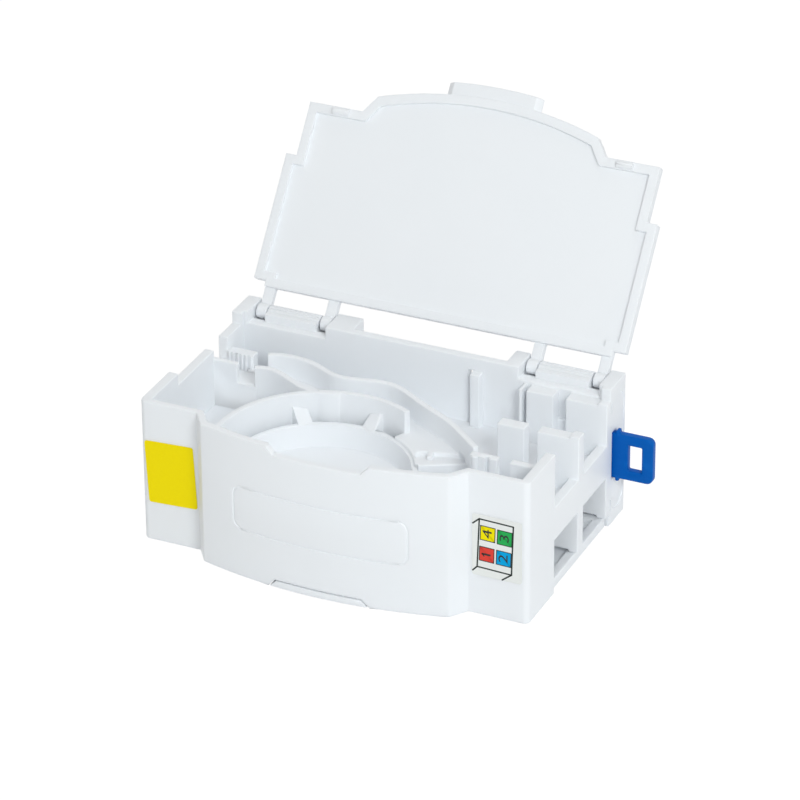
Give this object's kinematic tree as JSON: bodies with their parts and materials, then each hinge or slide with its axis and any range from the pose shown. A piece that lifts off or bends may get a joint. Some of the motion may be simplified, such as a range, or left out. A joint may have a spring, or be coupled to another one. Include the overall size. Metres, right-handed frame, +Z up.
{
  "type": "din rail fibre box",
  "caption": "White plastic fibre termination box for a DIN rail, with hinged upper and lower lids, a winding tray, end windows for adapters and a sliding blue rail clip.",
  "frame": {"origin": "centre of the rail seat: mid-length and mid-height, on the rear wall face that lies against the rail", "axes": "+X along the length towards the clip tab, +Y towards the rail, +Z up"},
  "size_m": [0.1056, 0.1023, 0.0836],
  "materials": {
    "white_abs": "satin moulded",
    "blue_plastic": "smooth",
    "white_sticker": "printed film",
    "yellow_sticker": "printed film"
  },
  "bodies": {
    "base": {"base_body": "white_abs", "port_label": "white_sticker", "yellow_label": "yellow_sticker"},
    "upper_lid": {"upper_lid": "white_abs"},
    "lower_lid": {"lower_lid": "white_abs"},
    "clip": {"din_clip": "blue_plastic"}
  },
  "joints": [
    {"name": "upper_lid_hinge", "type": "hinge", "parent": "base", "child": "upper_lid", "pos_m": [0, 0.003, 0.016], "axis": [-1, 0, 0], "range_deg": [-127.5, 0]},
    {"name": "lower_lid_hinge", "type": "hinge", "parent": "base", "child": "lower_lid", "pos_m": [0, 0.003, -0.016], "axis": [1, 0, 0], "range_deg": [0, 127.5]},
    {"name": "clip_slide", "type": "slide", "parent": "base", "child": "clip", "axis": [1, 0, 0], "range_m": [0, 0.005], "stiffness_N_per_m": 200}
  ]
}
